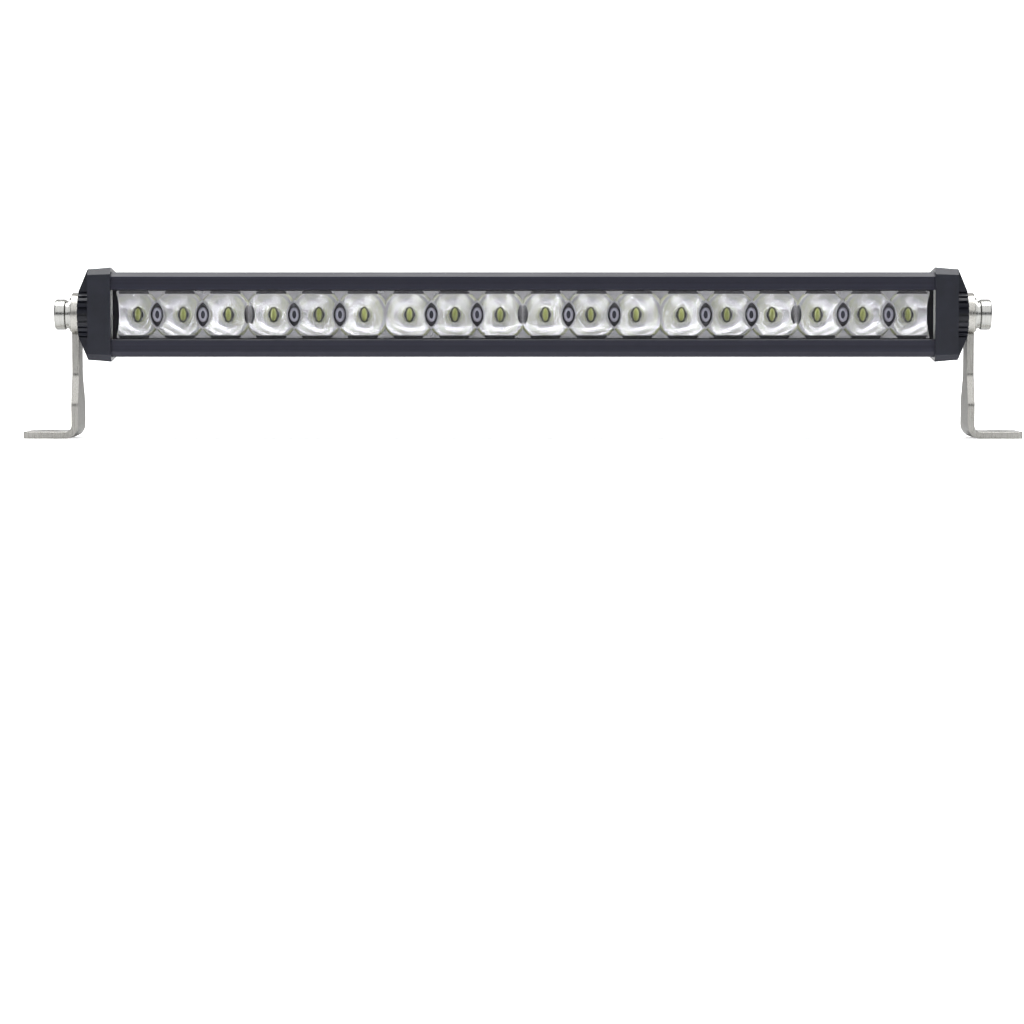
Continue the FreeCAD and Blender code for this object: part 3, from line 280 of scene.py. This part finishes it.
def circuit_board(name, mask, copper):
    """Solder mask over tracks: a darker mask, with the copper showing through as a lighter tone."""
    paint = Paint(name, mask, 0.35, Coat_Weight=0.5, Coat_Roughness=0.15)
    tracks = paint.cells(260, (1, 1, 1.6))
    paint.vary_colour(tracks, copper, 0.04, 0.10)
    paint.bump(tracks, 0.00003)
    return paint.material


def brass():
    paint = Paint("brass", (0.60, 0.44, 0.19), 0.3, 1.0)
    rings = paint.noise(700, (4, 0.3, 0.3))
    paint.vary_colour(rings, (0.72, 0.56, 0.28))
    return paint.material


def phosphor():
    paint = Paint("phosphor", (0.17, 0.20, 0.035), 0.45, Coat_Weight=1.0, Coat_Roughness=0.05)
    grain = paint.noise(5000, detail=3)
    paint.vary_colour(grain, (0.28, 0.31, 0.07))
    paint.bump(grain, 0.00002)
    return paint.material


def led_package():
    paint = Paint("led_package", (0.05, 0.055, 0.03), 0.35)
    paint.vary_colour(paint.noise(3000), (0.09, 0.095, 0.05))
    return paint.material


def dark_texture():
    """Near black with a honeycomb of fine cells, at the bottom of the wells; on the ledges the same dark is
    painted shade.
    """
    paint = Paint("honeycomb_dark_and_ledge_shade", (0.006, 0.006, 0.009), 0.3, Specular_IOR_Level=0.6)
    cells = paint.cells(900)
    paint.vary_colour(cells, (0.05, 0.05, 0.06), 0.02, 0.25)
    paint.bump(cells, 0.0002)
    return paint.material


def pale_floor():
    """White with a glow that grows away from the object, so that its far end stays as pale as the rest."""
    paint = Paint("pale_floor", (0.86, 0.86, 0.86), 0.9)
    paint.vary_colour(paint.noise(6, detail=2), (0.88, 0.88, 0.88))
    paint.set("Emission Color", (1, 1, 1, 1))
    place = paint.add("NewGeometry")
    reach = paint.add("VectorMath", operation="LENGTH")
    paint.link(place.outputs["Position"], reach.inputs[0])
    glow = paint.remap(reach.outputs["Value"], 1.2, 3.0, 0.45, 1.0)
    paint.link(glow, paint.shader.inputs["Emission Strength"])
    return paint.material


# --- meshes -----------------------------------------------------------------------------------


def piece(name, bm, material, body, replaces=()):
    """A finished mesh as a piece of the object that moves with a body."""
    mesh = bpy.data.meshes.new(name)
    bmesh.ops.recalc_face_normals(bm, faces=bm.faces)
    bm.to_mesh(mesh)
    bm.free()
    item = bpy.data.objects.new(name, mesh)
    bpy.context.scene.collection.objects.link(item)
    mesh.materials.append(material)
    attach(item, body)
    if replaces:
        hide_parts(*replaces)
    return item


def bowl_profile(share):
    """Radius and y of the bowl's wall, from 0 at its base to 1 at its rim."""
    chord = Vector((CUP_RIM_RADIUS - CUP_BASE_RADIUS, -CUP_DEPTH))
    half = chord.length / 2
    sagitta = CUP_WALL_RADIUS - math.sqrt(CUP_WALL_RADIUS**2 - half**2)
    outward = Vector((-chord.y, chord.x)).normalized()
    middle = Vector((CUP_BASE_RADIUS, BOARD_Y)) + chord / 2
    centre = middle + outward * (sagitta - CUP_WALL_RADIUS)
    half_angle = math.asin(half / CUP_WALL_RADIUS)
    turn = half_angle * (2 * share - 1)
    across = chord.normalized()
    point = centre + CUP_WALL_RADIUS * (outward * math.cos(turn) + across * math.sin(turn))
    return point.x - SKIN, point.y


def bowl_point(centre_x, ring, sector, rise=0.0):
    """A place on the bowl's wall, or raised from it towards the bowl's axis."""
    radius, y = bowl_profile(ring / FACET_RINGS)
    angle = sector * math.tau / FACET_SECTORS
    reach = radius - rise
    return Vector((centre_x + reach * math.cos(angle), y, AXIS_HEIGHT + reach * math.sin(angle)))


def add_facets(bm, centre_x, low_x, high_x):
    """Diamond facets over one bowl, each a low pyramid, cut off at the bowl's four flat sides."""
    part = bmesh.new()
    corners = {}

    def corner(ring, half_sector):
        key = ring, half_sector % (2 * FACET_SECTORS)
        if key not in corners:
            corners[key] = part.verts.new(bowl_point(centre_x, ring, key[1] / 2))
        return corners[key]

    for ring in range(FACET_RINGS - 1):
        for sector in range(FACET_SECTORS):
            mid = 2 * sector + ring % 2
            ends = [corner(ring, mid), corner(ring + 1, mid + 1)]
            ends += [corner(ring + 2, mid), corner(ring + 1, mid - 1)]
            top = part.verts.new(bowl_point(centre_x, ring + 1, mid / 2, FACET_RISE))
            for index in range(4):
                part.faces.new((ends[index], ends[(index + 1) % 4], top))
    close_edge(part, corners, 0)
    close_edge(part, corners, FACET_RINGS)
    trim(part, centre_x, low_x, high_x)
    copy_into(bm, part)


def close_edge(part, corners, ring):
    """Fills the row of half diamonds along the base or the rim."""
    inner = 1 if ring == 0 else ring - 1
    count = 2 * FACET_SECTORS
    for half_sector in range(count):
        here = corners.get((ring, half_sector))
        across = corners.get((ring, (half_sector + 2) % count))
        between = corners.get((inner, (half_sector + 1) % count))
        if here and across and between:
            part.faces.new((here, across, between))


def trim(part, centre_x, low_x, high_x):
    """Cuts a bowl at its neighbours, at the ledges and round the opening for the LED."""
    ledge = CUP_LEDGE - SKIN / 2
    cuts = [((low_x, 0, 0), (-1, 0, 0)), ((high_x, 0, 0), (1, 0, 0))]
    cuts += [((0, 0, AXIS_HEIGHT + ledge), (0, 0, 1)), ((0, 0, AXIS_HEIGHT - ledge), (0, 0, -1))]
    for place, normal in cuts:
        geometry = part.verts[:] + part.edges[:] + part.faces[:]
        bmesh.ops.bisect_plane(part, geom=geometry, plane_co=place, plane_no=normal, clear_outer=True)
    radius = LED_OPENING[0] / 2
    straight = LED_OPENING[1] / 2 - radius
    inside = []
    for face in part.faces:
        middle = face.calc_center_median()
        beyond = max(0, abs(middle.z - AXIS_HEIGHT) - straight)
        if math.hypot(middle.x - centre_x, beyond) < radius:
            inside.append(face)
    bmesh.ops.delete(part, geom=inside, context="FACES")


def copy_into(bm, part):
    """Adds a part's faces to a mesh and frees the part."""
    scratch = bpy.data.meshes.new("scratch")
    part.to_mesh(scratch)
    part.free()
    bm.from_mesh(scratch)
    bpy.data.meshes.remove(scratch)


def led_places(module):
    """x of the six LEDs of a module."""
    low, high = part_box(f"led_chips_{module}")
    first, last = low[0] + LED_WIDTH / 2, high[0] - LED_WIDTH / 2
    step = (last - first) / (CUPS_PER_MODULE - 1)
    return [first + step * index for index in range(CUPS_PER_MODULE)]


def eye_outline(x, eye, y, count=12):
    """Points of an eye shape about x: two arcs between a point above and one below."""
    half_width, half_height = eye
    radius = (half_width**2 + half_height**2) / (2 * half_width)
    reach = math.asin(half_height / radius)
    points = []
    for sign in (1, -1):
        for index in range(count):
            angle = sign * reach * (2 * index / count - 1)
            across = sign * (radius * math.cos(angle) - (radius - half_width))
            points.append(Vector((x + across, y, AXIS_HEIGHT + radius * math.sin(angle))))
    return points


def bridge(bm, first, second, smooth=False):
    """Faces between two closed rows of corners."""
    for index in range(len(first)):
        after = (index + 1) % len(first)
        face = bm.faces.new((first[index], first[after], second[after], second[index]))
        face.smooth = smooth


def add_well(bm, x, eye, top_y, floor_y):
    """Floor and wall of an eye-shaped well."""
    rim = [bm.verts.new(point) for point in eye_outline(x, eye, top_y)]
    low = [bm.verts.new(point) for point in eye_outline(x, eye, floor_y)]
    bm.faces.new(low)
    bridge(bm, rim, low)


def upright_slot(x, y, width, height, count=9):
    """Points of an outline with straight sides and round ends."""
    radius = width / 2
    points = []
    for centre, start in ((height / 2 - radius, 0.0), (radius - height / 2, math.pi)):
        for index in range(count):
            angle = start + math.pi * index / (count - 1)
            up = centre + radius * math.sin(angle)
            points.append((x + radius * math.cos(angle), y, AXIS_HEIGHT + up))
    return points


def add_block(bm, x, y_front, y_back, width, height, bevel):
    """A round-ended block with a bevelled front edge, standing on the board."""
    rings = []
    for inset, y in ((0, y_back), (0, y_front + bevel), (bevel, y_front)):
        outline = upright_slot(x, y, width - 2 * inset, height - 2 * inset)
        rings.append([bm.verts.new(point) for point in outline])
    for first, second in zip(rings, rings[1:]):
        bridge(bm, first, second)
    bm.faces.new(rings[-1])


def add_oval_cup(bm, x, y_top, y_floor, width, height, sectors=24):
    """Painted shade inside an oval socket: its wall and its floor."""
    rings = []
    for y in (y_top, y_floor):
        ring = []
        for sector in range(sectors):
            angle = math.tau * sector / sectors
            across, up = width / 2 * math.cos(angle), height / 2 * math.sin(angle)
            ring.append(bm.verts.new((x + across, y, AXIS_HEIGHT + up)))
        rings.append(ring)
    wall, floor = rings
    bridge(bm, wall, floor)
    bm.faces.new(floor)


def add_strip(bm, low, high):
    """A flat sheet facing -Y between two corners."""
    corners = ((low.x, low.z), (high.x, low.z), (high.x, high.z), (low.x, high.z))
    bm.faces.new([bm.verts.new((x, low.y, z)) for x, z in corners])


def add_dome(bm, x, y_base, width, height, rise, rings=8, sectors=28):
    """Half an ellipsoid that bulges towards -Y."""
    rows = []
    for ring in range(rings):
        lift = math.pi / 2 * ring / rings
        row = []
        for sector in range(sectors):
            angle = math.tau * sector / sectors
            across = width / 2 * math.cos(lift) * math.cos(angle)
            up = height / 2 * math.cos(lift) * math.sin(angle)
            place = (x + across, y_base - rise * math.sin(lift), AXIS_HEIGHT + up)
            row.append(bm.verts.new(place))
        rows.append(row)
    top = bm.verts.new((x, y_base - rise, AXIS_HEIGHT))
    for first, second in zip(rows, rows[1:]):
        bridge(bm, first, second, smooth=True)
    for index in range(sectors):
        face = bm.faces.new((rows[-1][index], rows[-1][(index + 1) % sectors], top))
        face.smooth = True


# --- the light engine -------------------------------------------------------------------------


def build_cups(material):
    """The faceted bowls, one piece for each module."""
    cups = []
    for module in MODULES:
        bm = bmesh.new()
        low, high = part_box(f"reflector_module_{module}")
        for x in led_places(module):
            low_x = max(x - LED_PITCH / 2, low[0])
            high_x = min(x + LED_PITCH / 2, high[0])
            add_facets(bm, x, low_x, high_x)
        cups.append(piece(f"cup_facets_{module}", bm, material, "bar"))
    return cups


def build_wells(material):
    """Dark linings of the wells, and sheets of painted shade on the ledges, one piece for each module."""
    for module in MODULES:
        bm = bmesh.new()
        middle = sum(led_places(module)) / CUPS_PER_MODULE
        top = RIM_Y + WELL_TOP_DROP
        inset = (WELL_EYE[0] - SKIN / 2, WELL_EYE[1] - SKIN)
        for joint in FASTENED_JOINTS:
            add_well(bm, middle + joint * LED_PITCH, inset, top, top + WELL_DEPTH - SKIN / 2)
        gate = (GATE_EYE[0] - SKIN / 2, GATE_EYE[1] - SKIN)
        add_well(bm, middle, gate, RIM_Y + GATE_TOP_DROP, RIM_Y + GATE_DEPTH - SKIN)
        add_painted_shade_ledges(bm, module)
        piece(f"well_liners_{module}", bm, material, "bar")


def add_painted_shade_ledges(bm, module):
    """Dark sheets of painted shade on the ledges above and below the bowls, over each bowl between its
    corners.
    """
    y = RIM_Y + LEDGE_DROP - SKIN
    low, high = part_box(f"reflector_module_{module}")
    reach = math.sqrt(CUP_RIM_RADIUS**2 - WINDOW_HALF**2) + LEDGE_OVERHANG
    for sign in (-1, 1):
        heights = (CUP_LEDGE + SKIN, WINDOW_HALF * LEDGE_SHARE)
        edges = sorted(AXIS_HEIGHT + sign * height for height in heights)
        for x in led_places(module):
            left = max(x - reach, low[0])
            right = min(x + reach, high[0])
            add_strip(bm, Vector((left, y, edges[0])), Vector((right, y, edges[1])))


def build_socket_shade(material):
    """Dark sheets of painted shade in the slots in the oval heads of the fasteners."""
    bm = bmesh.new()
    head_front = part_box("reflector_fasteners")[0][1]
    top, floor = head_front + SOCKET_TOP_DROP, head_front + SOCKET_DEPTH - SKIN / 2
    width, height = SOCKET_SIZE[0] - SKIN, SOCKET_SIZE[1] - SKIN
    for module in MODULES:
        middle = sum(led_places(module)) / CUPS_PER_MODULE
        for joint in FASTENED_JOINTS:
            add_oval_cup(bm, middle + joint * LED_PITCH, top, floor, width, height)
    piece("fastener_socket_shade", bm, material, "bar")


def build_leds(base_finish, yellow):
    """The LEDs' bases and domes, which take the place of the plain solids."""
    base_front = BOARD_Y - LED_BASE_RISE
    for module in MODULES:
        bases, domes = bmesh.new(), bmesh.new()
        for x in led_places(module):
            add_block(bases, x, base_front, BOARD_Y, LED_WIDTH, LED_HEIGHT, LED_BASE_BEVEL)
            add_dome(domes, x, base_front, *LED_DOME, LED_DOME_RISE)
        piece(f"led_bases_{module}", bases, base_finish, "bar")
        piece(f"led_domes_{module}", domes, yellow, "bar", (f"led_chips_{module}",))


# --- carried-over solids ----------------------------------------------------------------------


def dress_nodes():
    """Gives every solid of the frame its finish."""
    finishes = {
        "black_housing": anodised_black(),
        "black_cap": powder_coat(),
        "clear_lens": clear_lens(),
        "mirror_reflector": metallised("metallised_plain", 0.42, 0.25),
        "grey_fastener": moulded_nylon("grey_nylon", (0.34, 0.34, 0.40), 0.3),
        "led_board": circuit_board("black_board", (0.012, 0.012, 0.013), (0.03, 0.03, 0.032)),
        "led_phosphor": phosphor(),
        "thermal_pad": moulded_nylon("thermal_silicone", (0.25, 0.26, 0.29), 0.7),
        "grey_silicone": moulded_nylon("grey_silicone", (0.42, 0.43, 0.41), 0.6),
        "black_rubber": rubber(),
        "brushed_stainless": brushed_stainless(),
        "stainless_fastener": turned_stainless(),
        "brass": brass(),
        "black_plastic": moulded_nylon("black_nylon", (0.012, 0.012, 0.012), 0.45),
        "green_board": circuit_board("green_board", (0.01, 0.09, 0.04), (0.03, 0.18, 0.08)),
        "driver_component": moulded_nylon("component_black", (0.02, 0.02, 0.022), 0.5),
    }
    for subpart in frame["record"]["subparts"]:
        node = NODES[subpart["node"]]
        finish = finishes[subpart["material_slot"]]
        if not node.material_slots:
            node.data.materials.append(finish)
        for slot in node.material_slots:
            slot.material = finish


# --- stage ------------------------------------------------------------------------------------


def build_floor():
    """A pale floor that sweeps up into a backdrop."""
    bm = bmesh.new()
    half_width, near, far, bend, top = 6.0, -5.0, 2.6, 0.9, 5.0
    steps = 16
    profile = [(near, 0.0)]
    for index in range(steps + 1):
        angle = math.pi / 2 * index / steps
        profile.append((far + bend * math.sin(angle), bend * (1 - math.cos(angle))))
    profile.append((far + bend, top))
    rows = [[bm.verts.new((x, y, z)) for x in (-half_width, half_width)] for y, z in profile]
    for first, second in zip(rows, rows[1:]):
        face = bm.faces.new((first[0], first[1], second[1], second[0]))
        face.smooth = True
    mesh = bpy.data.meshes.new("floor")
    bm.to_mesh(mesh)
    bm.free()
    mesh.materials.append(pale_floor())
    floor = bpy.data.objects.new("floor", mesh)
    bpy.context.scene.collection.objects.link(floor)


def add_softbox(name, place, aim, size, power):
    """A rectangular light of a power in watts that faces a point."""
    light = bpy.data.lights.new(name, "AREA")
    light.shape = "RECTANGLE"
    light.size, light.size_y = size
    light.energy = power
    item = bpy.data.objects.new(name, light)
    item.location = place
    item.rotation_euler = (Vector(aim) - Vector(place)).to_track_quat("-Z", "Y").to_euler()
    bpy.context.scene.collection.objects.link(item)
    return item


def light_only(light, receivers):
    """Keeps a light's effect to a few objects."""
    group = bpy.data.collections.new(f"{light.name}_receivers")
    for item in receivers:
        group.objects.link(item)
    light.light_linking.receiver_collection = group


def light_bowls(cups):
    """A low card of light in front of the lamp and a small lamp, for the bowls alone."""
    card = add_softbox("bounce", (0, -0.18, 0.006), (0, -0.02, AXIS_HEIGHT), (0.95, 0.04), 8)
    spark = add_softbox("spark", (-0.75, -1.6, 0.42), (0, 0, AXIS_HEIGHT), (0.06, 0.06), 0.12)
    for light in (card, spark):
        light.visible_camera = False
        light_only(light, cups)


def build_world():
    """Faint surrounding light, with a white backdrop behind the object."""
    world = bpy.data.worlds.new("studio")
    bpy.context.scene.world = world
    world.use_nodes = True
    tree = world.node_tree
    surround = tree.nodes["Background"]
    surround.inputs["Color"].default_value = (0.93, 0.95, 1, 1)
    surround.inputs["Strength"].default_value = 0.2
    backdrop = tree.nodes.new("ShaderNodeBackground")
    backdrop.inputs["Color"].default_value = (1, 1, 1, 1)
    path = tree.nodes.new("ShaderNodeLightPath")
    mix = tree.nodes.new("ShaderNodeMixShader")
    tree.links.new(path.outputs["Is Camera Ray"], mix.inputs["Fac"])
    tree.links.new(surround.outputs["Background"], mix.inputs[1])
    tree.links.new(backdrop.outputs["Background"], mix.inputs[2])
    tree.links.new(mix.outputs["Shader"], tree.nodes["World Output"].inputs["Surface"])


def build_lights():
    """Softboxes above, beside and behind the lamp, and one in front for its steel parts alone."""
    aim = (0, 0, AXIS_HEIGHT)
    add_softbox("overhead", (0, 0.1, 1.7), aim, (2.6, 1.2), 92)
    front = add_softbox("front", (0, -1.15, 1.15), aim, (2.6, 1.5), 26)
    steel = ("bracket", "pivot_bolt", "flat_washer", "spring_washer")
    light_only(front, [NODES[f"{side}_{part}"] for side in SIDES for part in steel])
    add_softbox("left_fill", (-1.7, -0.9, 0.8), aim, (0.5, 0.9), 5)
    add_softbox("right_fill", (1.7, -0.9, 0.8), aim, (0.5, 0.9), 5)
    add_softbox("back", (0, 1.6, 1.2), aim, (2.0, 0.5), 8)


def build_camera():
    """Level with the pivot axis, straight in front, turned so that the bar is high in the frame."""
    distance = 1.93
    camera = bpy.data.cameras.new("camera")
    camera.sensor_width = 36
    camera.lens = 118
    item = bpy.data.objects.new("camera", camera)
    item.location = (0, BOARD_Y - distance, AXIS_HEIGHT)
    tilt, turn = math.radians(3.366), math.radians(0.184)
    item.rotation_euler = (math.pi / 2 - tilt, 0, turn)
    bpy.context.scene.collection.objects.link(item)
    bpy.context.scene.camera = item


build_camera()
build_floor()
build_world()
build_lights()
bpy.context.scene.view_settings.view_transform = "Standard"
dress_nodes()
light_bowls(build_cups(metallised("metallised_facets", 0.6, 0.07)))
# The dark strips on the ledges are painted shade; the wells get the same dark honeycomb.
build_wells(dark_texture())
# The dark linings in the fastener sockets are painted shade.
build_socket_shade(moulded_nylon("socket_painted_shade", (0.01, 0.01, 0.022), 0.4))
build_leds(led_package(), phosphor())
